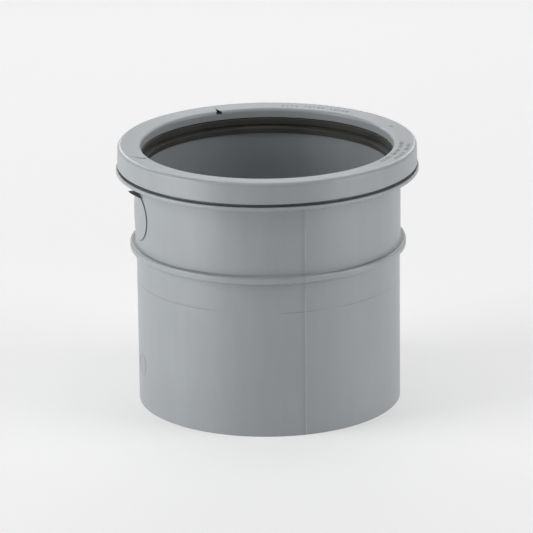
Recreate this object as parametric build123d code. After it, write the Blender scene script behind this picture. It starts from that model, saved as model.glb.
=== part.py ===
from build123d import *
import os

# Push-fit coupling for 110 mm soil pipe, in millimetres, +Z up.
# The origin is on the axis, in the plane of the lower end that it stands on.
# The lower end is a plain solvent-weld socket. The upper end is a ring-seal
# socket: a rubber seal sits on the flange and a clip-on cap holds it down.

# Driving dimensions
PIPE_RADIUS = 55.0
SOLVENT_GAP = 0.2
PUSH_FIT_GAP = 0.5
LOWER_WALL = 3.3
UPPER_WALL = 3.4
SOCKET_DEPTH = 57.0
STOP_HEIGHT = 3.0
STOP_BORE_RADIUS = 52.5
OVERALL_HEIGHT = 117.55
FLANGE_RADIUS = 67.0

# Coupling body
LOWER_BORE = PIPE_RADIUS + SOLVENT_GAP
UPPER_BORE = PIPE_RADIUS + PUSH_FIT_GAP
LOWER_RADIUS = LOWER_BORE + LOWER_WALL
UPPER_RADIUS = UPPER_BORE + UPPER_WALL
STOP_TOP = SOCKET_DEPTH + STOP_HEIGHT
MOUTH_CHAMFER = 1.0
MOUTH_LEAD = 3.0
EDGE_ROUND = 0.3
SINK_HEIGHT = STOP_TOP - 3.4
SINK_HALF_WIDTH = 1.2
SINK_DEPTH = 0.06
RIB_BOTTOM = 70.2
RIB_TOP = 73.6
RIB_RADIUS = 61.25
RIB_ROUND = 0.9
FLANGE_FILLET = 1.0
LIP_BOTTOM = 105.1
LIP_TOP = 106.9
LIP_GROOVE_FLOOR = 106.3
LIP_RIM_WIDTH = 0.8
LIP_ROUND = 0.6
SEAT_FLOOR = 107.0
SEAT_RADIUS = 61.2
SEAT_WALL = 1.6
SEAT_TOP = 112.6

# Snap fit between the seat wall and the cap
BEAD_HEIGHT = 110.9
BEAD_PROUD = 0.5
BEAD_HALF_WIDTH = 0.7
SNAP_CLEARANCE = 0.1
HOOK_RADIUS = SEAT_RADIUS + SEAT_WALL + BEAD_PROUD + SNAP_CLEARANCE
HOOK_LEAD = 0.5
HOOK_CATCH = 0.6

# Retaining cap: its wall leans in a little and its top face falls slightly towards the mouth
CAP_BOTTOM = 108.1
CAP_UNDERSIDE = 112.9
CAP_RADIUS = 66.35
CAP_DRAFT = 0.25
CAP_ROUND = 1.6
CAP_DISH = 0.5
CAP_MOUTH_RADIUS = 55.85
CAP_MOUTH_ROUND = 1.4
SKIRT_INNER = 64.0
HOOK_TOP = 109.6
CAP_TOP = OVERALL_HEIGHT

# Seal
SEAL_RADIUS = 61.0
SEAL_BOTTOM = 107.1
SEAL_TOP = 112.7
WIPER_RADIUS = 55.5
SEAL_GROOVE_HEIGHT = 109.1
SEAL_GROOVE_RADIUS = 56.2
SEAL_GROOVE_HALF_WIDTH = 0.8
LIP_LAND_RADIUS = 53.9
LIP_LAND_BOTTOM = 106.5
LIP_LAND_TOP = 108.6
LIP_CHAMFER = 0.45
LIP_BACK_RADIUS = 55.1
SEAL_ROUND = 0.5
WIPER_TOP_ROUND = 0.4
WIPER_ROUND = 0.3
LIP_EDGE_ROUND = 0.2

# Moulding details, with angles measured from +X towards +Y
MOULD_SPLIT = 285.7
FLASH_WIDTH = 0.45
FLASH_PROUD = 0.08
PAD_ANGLE = 195.5
PAD_HEIGHT = 88.5
PAD_RADIUS = 10.7
PAD_PROUD = 0.4
HOOD_WIDTH = 0.8
HOOD_PROUD = 5.6
HOOD_FOOT = PAD_HEIGHT + 9.6
HOOD_SLOPE = 23.5
INSERT_HEIGHT = 19.8
INSERT_RADIUS = 5.0
INSERT_LINE = 0.5
INSERT_PROUD = 0.12
DIMPLE_ANGLE = 288.4
DIMPLE_HEIGHT = 49.3
DIMPLE_RADIUS = 1.2
DIMPLE_DEPTH = 0.08
NOTCH_ANGLE = 112.6
NOTCH_POINT_RADIUS = 61.5
NOTCH_WIDTH = 2.6
NOTCH_DEPTH = 1.6
NOTCH_FLOOR = CAP_TOP - NOTCH_DEPTH
MARK_PROUD = 0.15
DASH_LENGTHS = (1.9, 1.5, 1.1)
DASH_WIDTHS = (0.5, 0.8)
DASH_GROUP = 6  # every sixth dash of a row is left out
BITE = 2.0  # how far a raised detail is sunk into the wall that carries it
HALF_SPACE = 80.0  # side of a cutting box, larger than any detail that it trims


def turned(*corners):
    """Turn a closed outline about Z. A corner is (radius, height) or (radius, height, rounding)."""
    points = [(corner[0], 0, corner[1]) for corner in corners]
    roundings = [corner[2] if len(corner) > 2 else 0 for corner in corners]
    outline = FilletPolyline(*points, radius=roundings, close=True)
    return revolve(make_face(outline.edges()), Axis.Z)


def radial_post(angle, height, radius, inner, outer):
    """A round post that points away from the axis, between two distances from it."""
    axis = Plane(
        origin=Vector(inner, 0, height).rotate(Axis.Z, angle),
        x_dir=(0, 0, 1),
        z_dir=Vector(1, 0, 0).rotate(Axis.Z, angle),
    )
    return extrude(axis * Circle(radius), outer - inner)


def on_wall(shape, radius):
    """Trim a detail so that its outer face follows the round wall."""
    return shape & Cylinder(radius, OVERALL_HEIGHT, align=(Align.CENTER, Align.CENTER, Align.MIN))


def body_shell():
    seat_outer = SEAT_RADIUS + SEAT_WALL
    bead = seat_outer + BEAD_PROUD
    return turned(
        (LOWER_BORE + MOUTH_CHAMFER, 0),
        (LOWER_RADIUS, 0, EDGE_ROUND),
        (LOWER_RADIUS, SINK_HEIGHT - SINK_HALF_WIDTH),
        (LOWER_RADIUS - SINK_DEPTH, SINK_HEIGHT),
        (LOWER_RADIUS, SINK_HEIGHT + SINK_HALF_WIDTH),
        (LOWER_RADIUS, RIB_BOTTOM, EDGE_ROUND),
        (RIB_RADIUS, RIB_BOTTOM, RIB_ROUND),
        (RIB_RADIUS, RIB_TOP, RIB_ROUND),
        (UPPER_RADIUS, RIB_TOP, EDGE_ROUND),
        (UPPER_RADIUS, LIP_BOTTOM, FLANGE_FILLET),
        (FLANGE_RADIUS, LIP_BOTTOM, LIP_ROUND),
        (FLANGE_RADIUS, LIP_TOP, EDGE_ROUND),
        (FLANGE_RADIUS - LIP_RIM_WIDTH, LIP_TOP),
        (FLANGE_RADIUS - 2 * LIP_RIM_WIDTH, LIP_GROOVE_FLOOR),
        (seat_outer, LIP_GROOVE_FLOOR, EDGE_ROUND),
        (seat_outer, BEAD_HEIGHT - BEAD_HALF_WIDTH),
        (bead, BEAD_HEIGHT, EDGE_ROUND),
        (seat_outer, BEAD_HEIGHT + BEAD_HALF_WIDTH),
        (seat_outer, SEAT_TOP, EDGE_ROUND),
        (SEAT_RADIUS, SEAT_TOP, EDGE_ROUND),
        (SEAT_RADIUS, SEAT_FLOOR, EDGE_ROUND),
        (UPPER_BORE, SEAT_FLOOR, EDGE_ROUND),
        (UPPER_BORE, STOP_TOP),
        (STOP_BORE_RADIUS, STOP_TOP, EDGE_ROUND),
        (STOP_BORE_RADIUS, SOCKET_DEPTH, EDGE_ROUND),
        (LOWER_BORE, SOCKET_DEPTH),
        (LOWER_BORE, MOUTH_LEAD),
    )


def flash_line(angle, width, outer, bottom, top):
    """A fine upright line that the closing faces of the mould leave on one stretch of the outside."""
    strip = Box(2 * BITE, width, top - bottom, align=(Align.MIN, Align.CENTER, Align.MIN))
    return Rot(0, 0, angle) * on_wall(Pos(outer - BITE, 0, bottom) * strip, outer + FLASH_PROUD)


def side_pad():
    """The blank round pad on the side, with the low hood that shelters its top edge."""
    pad = radial_post(PAD_ANGLE, PAD_HEIGHT, PAD_RADIUS, UPPER_RADIUS - BITE, FLANGE_RADIUS)
    pad = on_wall(pad, UPPER_RADIUS + PAD_PROUD)
    hood_reach = UPPER_RADIUS + HOOD_PROUD
    hood = radial_post(PAD_ANGLE, PAD_HEIGHT, PAD_RADIUS + HOOD_WIDTH, UPPER_RADIUS - BITE, hood_reach)
    hood -= radial_post(PAD_ANGLE, PAD_HEIGHT, PAD_RADIUS, UPPER_RADIUS - 2 * BITE, FLANGE_RADIUS)
    above = Box(HALF_SPACE, HALF_SPACE, HALF_SPACE, align=(Align.CENTER, Align.CENTER, Align.MIN))
    slope = Pos(UPPER_RADIUS, 0, HOOD_FOOT) * Rot(0, -HOOD_SLOPE, 0) * above
    return pad + (hood & Rot(0, 0, PAD_ANGLE) * slope)


def insert_ring():
    """The small round mark of a mould insert near the foot."""
    inside = INSERT_RADIUS - INSERT_LINE
    outer = radial_post(PAD_ANGLE, INSERT_HEIGHT, INSERT_RADIUS, LOWER_RADIUS - BITE, FLANGE_RADIUS)
    inner = radial_post(PAD_ANGLE, INSERT_HEIGHT, inside, LOWER_RADIUS - 2 * BITE, FLANGE_RADIUS + BITE)
    return on_wall(outer - inner, LOWER_RADIUS + INSERT_PROUD)


def dimple():
    """A shallow round dint in the lower wall, beside the mould's split."""
    curve = (DIMPLE_RADIUS**2 + DIMPLE_DEPTH**2) / (2 * DIMPLE_DEPTH)
    centre = LOWER_RADIUS - DIMPLE_DEPTH + curve
    return Rot(0, 0, DIMPLE_ANGLE) * Pos(centre, 0, DIMPLE_HEIGHT) * Sphere(curve)


def coupling_body():
    body = body_shell()
    stretches = (
        (LOWER_RADIUS, EDGE_ROUND, RIB_BOTTOM),
        (RIB_RADIUS, RIB_BOTTOM + RIB_ROUND, RIB_TOP - RIB_ROUND),
        (UPPER_RADIUS, RIB_TOP, LIP_BOTTOM),
    )
    for angle in (MOULD_SPLIT, MOULD_SPLIT - 180):
        for outer, bottom, top in stretches:
            body += flash_line(angle, FLASH_WIDTH, outer, bottom, top)
    body += side_pad()
    body += insert_ring()
    body -= dimple()
    return body


def pointer_notch():
    """The three-cornered notch in the mouth's rounded edge, with its point outwards."""
    inner = CAP_MOUTH_RADIUS - BITE
    triangle = Polyline(
        (inner, NOTCH_WIDTH / 2),
        (inner, -NOTCH_WIDTH / 2),
        (NOTCH_POINT_RADIUS, 0),
        close=True,
    )
    prism = extrude(make_face(triangle.edges()), OVERALL_HEIGHT - NOTCH_FLOOR)
    return Rot(0, 0, NOTCH_ANGLE) * Pos(0, 0, NOTCH_FLOOR) * prism


def seal_ring():
    return turned(
        (SEAL_RADIUS, SEAL_BOTTOM, SEAL_ROUND),
        (SEAL_RADIUS, SEAL_TOP, SEAL_ROUND),
        (WIPER_RADIUS, SEAL_TOP, WIPER_TOP_ROUND),
        (WIPER_RADIUS, SEAL_GROOVE_HEIGHT + SEAL_GROOVE_HALF_WIDTH, WIPER_ROUND),
        (SEAL_GROOVE_RADIUS, SEAL_GROOVE_HEIGHT, LIP_EDGE_ROUND),
        (LIP_LAND_RADIUS, LIP_LAND_TOP, WIPER_ROUND),
        (LIP_LAND_RADIUS, LIP_LAND_BOTTOM, LIP_EDGE_ROUND),
        (LIP_LAND_RADIUS + LIP_CHAMFER, LIP_LAND_BOTTOM - LIP_CHAMFER, LIP_EDGE_ROUND),
        (LIP_BACK_RADIUS, LIP_LAND_BOTTOM - LIP_CHAMFER, LIP_EDGE_ROUND),
        (LIP_BACK_RADIUS, SEAL_BOTTOM),
    )


def rim_mark(angle, radius, length, width, turn=0):
    """One blank raised dash on the cap's upper face. Its length points outwards unless it is turned."""
    fall = CAP_DISH * (CAP_RADIUS - radius) / (CAP_RADIUS - CAP_MOUTH_RADIUS)
    dash = Box(length, width, 2 * MARK_PROUD)
    return Rot(0, 0, angle) * Pos(radius, 0, CAP_TOP - fall) * Rot(0, 0, turn) * dash


def dash_row(radius, first_angle, count, pitch):
    """Blank dashes of three lengths and two widths, set in groups with gaps, like a line of print."""
    marks = []
    for index in range(count):
        length = DASH_LENGTHS[index % len(DASH_LENGTHS)]
        width = DASH_WIDTHS[index % len(DASH_WIDTHS)]
        if (index + 1) % DASH_GROUP:
            marks.append(rim_mark(first_angle + index * pitch, radius, length, width))
    return marks


def retaining_cap():
    cap = turned(
        (CAP_RADIUS, CAP_BOTTOM, EDGE_ROUND),
        (CAP_RADIUS - CAP_DRAFT, CAP_TOP, CAP_ROUND),
        (CAP_MOUTH_RADIUS, CAP_TOP - CAP_DISH, CAP_MOUTH_ROUND),
        (CAP_MOUTH_RADIUS, CAP_UNDERSIDE, EDGE_ROUND),
        (SKIRT_INNER, CAP_UNDERSIDE),
        (SKIRT_INNER, HOOK_TOP),
        (HOOK_RADIUS, HOOK_TOP - HOOK_CATCH),
        (HOOK_RADIUS, CAP_BOTTOM + HOOK_LEAD),
        (HOOK_RADIUS + HOOK_LEAD, CAP_BOTTOM),
    )
    cap -= pointer_notch()
    marks = dash_row(radius=59.4, first_angle=-33, count=18, pitch=1.9)
    marks += dash_row(radius=62.9, first_angle=-27, count=12, pitch=2.1)
    marks += dash_row(radius=60.6, first_angle=53, count=16, pitch=2.0)
    marks += dash_row(radius=62.4, first_angle=252, count=22, pitch=2.0)
    marks.append(rim_mark(angle=23, radius=60.4, length=1.6, width=2.2))
    marks.append(rim_mark(angle=201, radius=61.3, length=9.5, width=0.8, turn=-48))
    for mark in marks:
        cap += mark
    return cap


os.makedirs("parts", exist_ok=True)
for name, build in (
    ("coupling_body", coupling_body),
    ("seal_ring", seal_ring),
    ("retaining_cap", retaining_cap),
):
    part = build()
    part.label = name
    export_step(part, f"parts/{name}.step")
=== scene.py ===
"""Looks of the push fit coupling: materials, floor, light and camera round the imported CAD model."""

import math

import bpy
from mathutils import Matrix, Vector


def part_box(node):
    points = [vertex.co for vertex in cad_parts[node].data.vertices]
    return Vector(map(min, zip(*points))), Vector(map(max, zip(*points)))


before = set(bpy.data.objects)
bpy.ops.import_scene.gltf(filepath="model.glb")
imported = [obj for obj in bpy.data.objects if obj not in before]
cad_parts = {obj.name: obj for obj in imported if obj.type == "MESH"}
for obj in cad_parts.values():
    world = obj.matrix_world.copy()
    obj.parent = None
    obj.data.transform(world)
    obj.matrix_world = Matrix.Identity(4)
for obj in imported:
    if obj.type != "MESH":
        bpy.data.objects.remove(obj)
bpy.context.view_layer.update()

MM = 0.001
CAP_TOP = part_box("retaining_cap")[1].z
MIDDLE = Vector((0.0, 0.0, CAP_TOP / 2))

# Places of small details on the object, in millimetres and degrees from +X towards +Y
MOUTH_RADIUS = 55.85
CAP_RADIUS = 66.35
CAP_FALL = 0.5
NOTCH_ANGLE = 112.6
NOTCH_POINT = 61.6
NOTCH_DEPTH = 1.6
PAD_ANGLE = 195.5
PAD_HEIGHT = 88.5
PAD_RADIUS = 10.7
UPPER_WALL = 58.9
HOOD_RISE = 5.5
HOOD_MIDDLE = 0.6
SPLIT_ANGLE = 285.7
WITNESS_HEIGHT = 56.6
NEAR_SIDE = 30.0  # a mask that starts this far out leaves the far side of the body alone
FRONT_ANGLE = 270
FRONT_MARKS = 50.0

# Colours
PVC_DARK = (0.264, 0.280, 0.291, 1.0)
PVC_LIGHT = (0.287, 0.305, 0.316, 1.0)
RUBBER_DARK = (0.020, 0.020, 0.017, 1.0)
RUBBER_BLOOM = (0.044, 0.042, 0.034, 1.0)

# How much of a painted tone covers the plastic, from 0 to 1: painted shade, painted highlight and the
# marks' tone
RIM_SHADE = 0.55
HOOD_SHADE = 0.85
WITNESS_SHADE = 0.35
SHADE_BESIDE_SPLIT = 0.10
HIGHLIGHT_ON_SPLIT = 0.30
MARK_TONE = 0.28

# The floor's glow, from the front of the view to the back of it, in metres and emission strength
GLOW_FRONT, GLOW_BACK = -0.20, 0.70
GLOW_LOW, GLOW_HIGH = 0.375, 0.48
FAR_GLOW_START, FAR_GLOW_END = 0.24, 0.66
FAR_GLOW = 0.075

# Softboxes: azimuth and elevation in degrees, distance and size in metres, power in watts
SOFTBOXES = {
    "left_box": (-75, 25, 1.2, (0.7, 1.0), 9.8),
    "right_box": (75, 25, 1.2, (0.7, 1.0), 7.2),
    "back_box": (180, 45, 1.4, (1.6, 0.8), 1.3),
    "top_box": (0, 89, 1.0, (0.8, 0.8), 3.3),
}

# Card lights close to the object, in metres and degrees, with each side's powers in watts
CARD_DISTANCE = 0.32
CARD_SIZE = (0.115, 0.18)
LOW_CARD = 0.10
HIGH_CARD = 0.28
CARDS = (("front", 50, LOW_CARD), ("side", 70, LOW_CARD), ("back", 150, HIGH_CARD))
LEFT_POWERS = (0.21, 0.11, 0.33)
RIGHT_POWERS = (0.125, 0.05, 0.25)
BACK_POWER = 0.08

# Camera, in metres, degrees and millimetres of lens
CAMERA_DISTANCE = 1.9215
CAMERA_ELEVATION = 17.606
CAMERA_YAW, CAMERA_PITCH, CAMERA_ROLL = 0.0260, 0.0305, 0.6597
CAMERA_AIM = Vector((0.0, 0.0, 0.0585))
CAMERA_LENS = 291.27
SENSOR_WIDTH = 36.0

# Floor and backdrop, in metres
FLOOR_FRONT, FLOOR_BACK = -3.0, 3.2
FLOOR_HALF_WIDTH = 4.0
BACKDROP_HEIGHT = 3.5
BACKDROP_BEND = 1.2
BEND_STEPS = 16


# ---------------------------------------------------------------- node helpers


def new_material(name):
    material = bpy.data.materials.new(name)
    material.use_nodes = True
    nodes = material.node_tree.nodes
    nodes.clear()
    output = nodes.new("ShaderNodeOutputMaterial")
    shader = nodes.new("ShaderNodeBsdfPrincipled")
    material.node_tree.links.new(shader.outputs["BSDF"], output.inputs["Surface"])
    return material, shader


class Maker:
    """Short calls for adding linked nodes to one material."""

    def __init__(self, material):
        self.tree = material.node_tree
        self.where = self.node("ShaderNodeTexCoord").outputs["Object"]

    def node(self, kind, inputs=None, **settings):
        made = self.tree.nodes.new(kind)
        for key, value in settings.items():
            setattr(made, key, value)
        for key, value in (inputs or {}).items():
            self.feed(value, made.inputs[key])
        return made

    def feed(self, value, socket):
        """Link an output to a socket, or set the socket to a number or colour."""
        if isinstance(value, bpy.types.NodeSocket):
            self.tree.links.new(value, socket)
        else:
            socket.default_value = value

    def math(self, operation, a, b=0.0):
        return self.node("ShaderNodeMath", {0: a, 1: b}, operation=operation).outputs[0]

    def hypot(self, a, b):
        squares = self.math("ADD", self.math("MULTIPLY", a, a), self.math("MULTIPLY", b, b))
        return self.math("SQRT", squares)

    def noise(self, scale, detail=2.0, vector=None):
        inputs = {"Vector": vector or self.where, "Scale": scale, "Detail": detail}
        return self.node("ShaderNodeTexNoise", inputs).outputs["Fac"]

    def stretched(self, along_z):
        """The object's coordinates with the height squeezed, for marks that run up and down."""
        inputs = {"Vector": self.where, "Scale": (1.0, 1.0, along_z)}
        return self.node("ShaderNodeMapping", inputs).outputs[0]

    def remap(self, value, low, high, to_low=0.0, to_high=1.0, smooth=False):
        """A value moved from one range to another and held inside it."""
        kind = "SMOOTHSTEP" if smooth else "LINEAR"
        inputs = {"Value": value, "From Min": low, "From Max": high, "To Min": to_low, "To Max": to_high}
        return self.node("ShaderNodeMapRange", inputs, interpolation_type=kind).outputs["Result"]

    def band(self, value, centre, half_width, soft):
        """1 where value is within half_width of centre, fading to 0 over soft."""
        away = self.math("ABSOLUTE", self.math("SUBTRACT", value, centre))
        return self.remap(away, half_width, half_width + soft, 1.0, 0.0, smooth=True)

    def both(self, *masks):
        """Where all of the masks hold."""
        result = masks[0]
        for mask in masks[1:]:
            result = self.math("MULTIPLY", result, mask)
        return result

    def mix(self, factor, first, second):
        """A blend of two colours. The sockets' numbers are those of the node's colour mode."""
        made = self.node("ShaderNodeMix", {0: factor, 6: first, 7: second}, data_type="RGBA")
        return made.outputs[2]

    def tint(self, mask, share, colour, tone):
        """The colour with a grey tone laid over the mask, covering a share of it."""
        return self.mix(self.math("MULTIPLY", mask, share), colour, grey(tone))

    def turned_to(self, angle):
        """Outward, sideways and upward distances seen from one direction, in metres."""
        turn = (0.0, 0.0, -math.radians(angle))
        local = self.node("ShaderNodeMapping", {"Vector": self.where, "Rotation": turn}).outputs[0]
        return self.node("ShaderNodeSeparateXYZ", {0: local}).outputs

    def radius(self):
        x, y, _ = self.node("ShaderNodeSeparateXYZ", {0: self.where}).outputs
        return self.hypot(x, y)


def grey(level):
    return (level, level, level, 1.0)


# ---------------------------------------------------------------- materials


def moulded_pvc(name):
    """Satin grey PVC-U: cloudy pigment, faint flow streaks and a fine tool grain."""
    material, shader = new_material(name)
    make = Maker(material)
    cloud = make.noise(26.0, 3.0)
    streak = make.noise(220.0, 2.0, make.stretched(0.12))
    speck = make.noise(2200.0, 1.0)
    tone = make.math("ADD", make.math("MULTIPLY", cloud, 0.5), make.math("MULTIPLY", streak, 0.3))
    tone = make.math("ADD", tone, make.math("MULTIPLY", speck, 0.2))
    tone = make.remap(tone, 0.35, 0.65)
    colour = make.mix(tone, PVC_DARK, PVC_LIGHT)
    rough = make.math("ADD", make.math("MULTIPLY", cloud, 0.10), make.math("MULTIPLY", speck, 0.06))
    grain = make.math("ADD", make.noise(1500.0, 2.0), make.math("MULTIPLY", streak, 0.6))
    shader.inputs["Specular IOR Level"].default_value = 0.5
    make.feed(make.math("ADD", rough, 0.30), shader.inputs["Roughness"])
    bump = make.node("ShaderNodeBump", {"Strength": 0.05, "Distance": 0.0002, "Height": grain})
    make.feed(bump.outputs["Normal"], shader.inputs["Normal"])
    return material, shader, make, colour


def body_material():
    material, shader, make, colour = moulded_pvc("pvc_body")
    outside = make.remap(make.radius(), (UPPER_WALL - 1.7) * MM, (UPPER_WALL - 1.3) * MM)
    # Painted shade: the hood under the flange's lip is painted near black, and the pad's rim is painted
    # darker
    outward, sideways, height = make.turned_to(PAD_ANGLE)
    rise = make.math("SUBTRACT", height, PAD_HEIGHT * MM)
    from_centre = make.hypot(sideways, rise)
    near_side = make.remap(outward, NEAR_SIDE * MM, (NEAR_SIDE + 1.0) * MM)
    hood_painted_shade = make.both(
        make.band(from_centre, (PAD_RADIUS + HOOD_MIDDLE) * MM, 0.7 * MM, 0.5 * MM),
        make.remap(rise, HOOD_RISE * MM, (HOOD_RISE + 2.0) * MM),
        near_side,
        make.remap(make.radius(), (UPPER_WALL + 0.15) * MM, (UPPER_WALL + 0.5) * MM),
    )
    rim_shade = make.both(
        make.band(from_centre, (PAD_RADIUS + 0.1) * MM, 0.15 * MM, 0.35 * MM),
        near_side,
        outside,
    )
    colour = make.tint(rim_shade, RIM_SHADE, colour, 0.05)
    colour = make.tint(hood_painted_shade, HOOD_SHADE, colour, 0.03)
    # A thin broken line of painted shade runs round the wall along the shallow sink groove, at the depth
    # of the pipe stop
    patchy = make.remap(make.noise(38.0, 1.0), 0.42, 0.56)
    sink_line_shade = make.both(make.band(height, WITNESS_HEIGHT * MM, 0.10 * MM, 0.25 * MM), patchy, outside)
    colour = make.tint(sink_line_shade, WITNESS_SHADE, colour, 0.12)
    # Along the mould's split, painted shade makes the left side a little darker and a painted highlight
    # makes the line itself a little lighter
    outward, sideways, _ = make.turned_to(SPLIT_ANGLE)
    in_front = make.both(make.remap(outward, NEAR_SIDE * MM, (NEAR_SIDE + 1.0) * MM), outside)
    split_side_shade = make.both(make.band(sideways, -1.1 * MM, 0.3 * MM, 1.2 * MM), in_front)
    broken = make.remap(make.noise(45.0, 2.0), 0.42, 0.58, 0.2, 1.0)
    split_highlight = make.both(make.band(sideways, 0.0, 0.22 * MM, 0.15 * MM), in_front, broken)
    colour = make.tint(split_side_shade, SHADE_BESIDE_SPLIT, colour, 0.10)
    colour = make.tint(split_highlight, HIGHLIGHT_ON_SPLIT, colour, 0.50)
    make.feed(colour, shader.inputs["Base Color"])
    return material


def cap_material():
    material, shader, make, colour = moulded_pvc("pvc_cap")
    radius = make.radius()
    outward, sideways, height = make.turned_to(NOTCH_ANGLE)
    # Painted shade: the inside of the three-cornered notch is painted near black
    floor_level = CAP_TOP - NOTCH_DEPTH * MM
    notch_middle = (MOUTH_RADIUS + NOTCH_POINT) / 2
    notch_reach = (NOTCH_POINT - MOUTH_RADIUS) / 2
    notch_shade = make.both(
        make.remap(height, CAP_TOP - 0.75 * MM, CAP_TOP - 0.55 * MM, 1.0, 0.0),
        make.remap(height, floor_level - 0.15 * MM, floor_level - 0.05 * MM),
        make.band(sideways, 0.0, 1.35 * MM, 0.1 * MM),
        make.band(outward, notch_middle * MM, notch_reach * MM, 0.3 * MM),
    )
    # The raised marks are a little darker than the face; on the front side a painted highlight makes
    # them lighter than it
    slope = CAP_FALL / (CAP_RADIUS - MOUTH_RADIUS)
    fall = make.math("MULTIPLY", make.math("SUBTRACT", CAP_RADIUS * MM, radius), slope)
    over_face = make.math("SUBTRACT", height, make.math("SUBTRACT", CAP_TOP, fall))
    mark = make.remap(over_face, 0.05 * MM, 0.11 * MM)
    in_front = make.remap(make.turned_to(FRONT_ANGLE)[0], FRONT_MARKS * MM, (FRONT_MARKS + 4.0) * MM)
    mark_tone_and_highlight = make.mix(in_front, grey(0.14), grey(0.62))
    colour = make.mix(make.math("MULTIPLY", mark, MARK_TONE), colour, mark_tone_and_highlight)
    colour = make.mix(notch_shade, colour, grey(0.012))
    make.feed(colour, shader.inputs["Base Color"])
    return material


def rubber_material():
    """Black rubber with a faint cloudy bloom and a fine grain."""
    material, shader = new_material("rubber_black")
    make = Maker(material)
    bloom = make.remap(make.noise(60.0, 4.0), 0.35, 0.75)
    colour = make.mix(bloom, RUBBER_DARK, RUBBER_BLOOM)
    make.feed(colour, shader.inputs["Base Color"])
    make.feed(make.remap(bloom, 0.0, 1.0, 0.58, 0.74), shader.inputs["Roughness"])
    grain = make.noise(900.0, 3.0)
    bump = make.node("ShaderNodeBump", {"Strength": 0.15, "Distance": 0.0003, "Height": grain})
    make.feed(bump.outputs["Normal"], shader.inputs["Normal"])
    return material


def floor_material():
    """A pale matt table that glows a little, more so towards the back."""
    material, shader = new_material("pale_floor")
    make = Maker(material)
    cloud = make.noise(3.0, 2.0)
    make.feed(make.mix(cloud, grey(0.56), grey(0.58)), shader.inputs["Base Color"])
    shader.inputs["Roughness"].default_value = 0.6
    shader.inputs["Specular IOR Level"].default_value = 0.35
    shader.inputs["Emission Color"].default_value = grey(1.0)
    _, depth, _ = make.node("ShaderNodeSeparateXYZ", {0: make.where}).outputs
    glow = make.remap(depth, GLOW_FRONT, GLOW_BACK, GLOW_LOW, GLOW_HIGH)
    far_glow = make.remap(depth, FAR_GLOW_START, FAR_GLOW_END, 0.0, FAR_GLOW)
    make.feed(make.math("ADD", glow, far_glow), shader.inputs["Emission Strength"])
    return material


def dress(node_name, material):
    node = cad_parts[node_name]
    if not node.material_slots:
        node.data.materials.append(material)
    for slot in node.material_slots:
        slot.material = material


# ---------------------------------------------------------------- stage


def add_floor():
    """A pale table top that curves up into a backdrop."""
    bend_start = FLOOR_BACK - BACKDROP_BEND
    profile = [(FLOOR_FRONT, 0.0), (bend_start, 0.0)]
    for step in range(1, BEND_STEPS + 1):
        angle = math.pi / 2 * step / BEND_STEPS
        y = bend_start + BACKDROP_BEND * math.sin(angle)
        z = BACKDROP_BEND - BACKDROP_BEND * math.cos(angle)
        profile.append((y, z))
    profile.append((FLOOR_BACK, BACKDROP_HEIGHT))
    vertices = []
    for y, z in profile:
        vertices.append((-FLOOR_HALF_WIDTH, y, z))
        vertices.append((FLOOR_HALF_WIDTH, y, z))
    faces = [(2 * i, 2 * i + 1, 2 * i + 3, 2 * i + 2) for i in range(len(profile) - 1)]
    mesh = bpy.data.meshes.new("floor")
    mesh.from_pydata(vertices, [], faces)
    mesh.shade_smooth()
    floor = bpy.data.objects.new("floor", mesh)
    bpy.context.collection.objects.link(floor)
    floor.data.materials.append(floor_material())


def add_area_light(name, place, target, size, power):
    """A rectangular light that faces its target and isn't seen by the camera."""
    data = bpy.data.lights.new(name, "AREA")
    data.shape = "RECTANGLE"
    data.size, data.size_y = size
    data.energy = power
    light = bpy.data.objects.new(name, data)
    light.location = place
    light.rotation_euler = (Vector(target) - Vector(place)).to_track_quat("-Z", "Y").to_euler()
    light.visible_camera = False
    bpy.context.collection.objects.link(light)
    return light


def softbox(name, azimuth, elevation, distance, size, power):
    """A large softbox. Azimuth 0 is the camera's side, and positive azimuths are on its right."""
    turn, tilt = math.radians(azimuth), math.radians(elevation)
    outward = Vector((math.sin(turn) * math.cos(tilt), -math.cos(turn) * math.cos(tilt), math.sin(tilt)))
    add_area_light(name, MIDDLE + distance * outward, MIDDLE, size, power)


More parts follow.
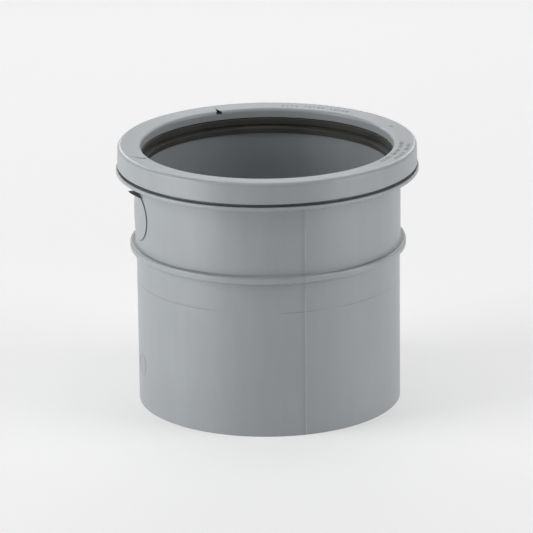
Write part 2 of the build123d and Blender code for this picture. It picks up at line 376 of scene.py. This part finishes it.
def card_light(name, azimuth, height, power, only_lights):
    """A small light close to the object, which lights nothing but the object."""
    turn = math.radians(azimuth)
    place = Vector((CARD_DISTANCE * math.sin(turn), -CARD_DISTANCE * math.cos(turn), height))
    light = add_area_light(name, place, (0.0, 0.0, height), CARD_SIZE, power)
    light.light_linking.receiver_collection = only_lights


def add_lights():
    for name, settings in SOFTBOXES.items():
        softbox(name, *settings)
    coupling = bpy.data.collections.new("coupling")
    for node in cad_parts.values():
        coupling.objects.link(node)
    for side, turn, powers in (("left", -1, LEFT_POWERS), ("right", 1, RIGHT_POWERS)):
        for (place, azimuth, height), power in zip(CARDS, powers):
            card_light(f"{side}_{place}_card", turn * azimuth, height, power, coupling)
    card_light("back_card", 180, HIGH_CARD, BACK_POWER, coupling)


def add_camera():
    """The photograph's viewpoint: a long lens a little above the rim."""
    elevation = math.radians(CAMERA_ELEVATION)
    yaw, pitch, roll = (math.radians(angle) for angle in (CAMERA_YAW, CAMERA_PITCH, CAMERA_ROLL))
    place = CAMERA_AIM + CAMERA_DISTANCE * Vector((0.0, -math.cos(elevation), math.sin(elevation)))
    ahead = (CAMERA_AIM - place).normalized()
    right = Vector((1.0, 0.0, 0.0))
    up = right.cross(ahead)
    turn = Matrix.Rotation(yaw, 3, up)
    ahead = turn @ ahead
    right = turn @ right
    turn = Matrix.Rotation(pitch, 3, right)
    ahead = turn @ ahead
    up = turn @ up
    turn = Matrix.Rotation(roll, 3, ahead)
    right = turn @ right
    up = turn @ up
    data = bpy.data.cameras.new("camera")
    data.sensor_width = SENSOR_WIDTH
    data.lens = CAMERA_LENS
    data.clip_end = 20.0
    camera = bpy.data.objects.new("camera", data)
    rotation = Matrix((right, up, -ahead)).transposed()
    camera.matrix_world = Matrix.Translation(place) @ rotation.to_4x4()
    bpy.context.collection.objects.link(camera)
    bpy.context.scene.camera = camera


# ---------------------------------------------------------------- scene

add_camera()
add_floor()
add_lights()

dress("coupling_body", body_material())
dress("retaining_cap", cap_material())
dress("seal_ring", rubber_material())

scene = bpy.context.scene
scene.view_settings.view_transform = "Standard"
scene.view_settings.look = "None"
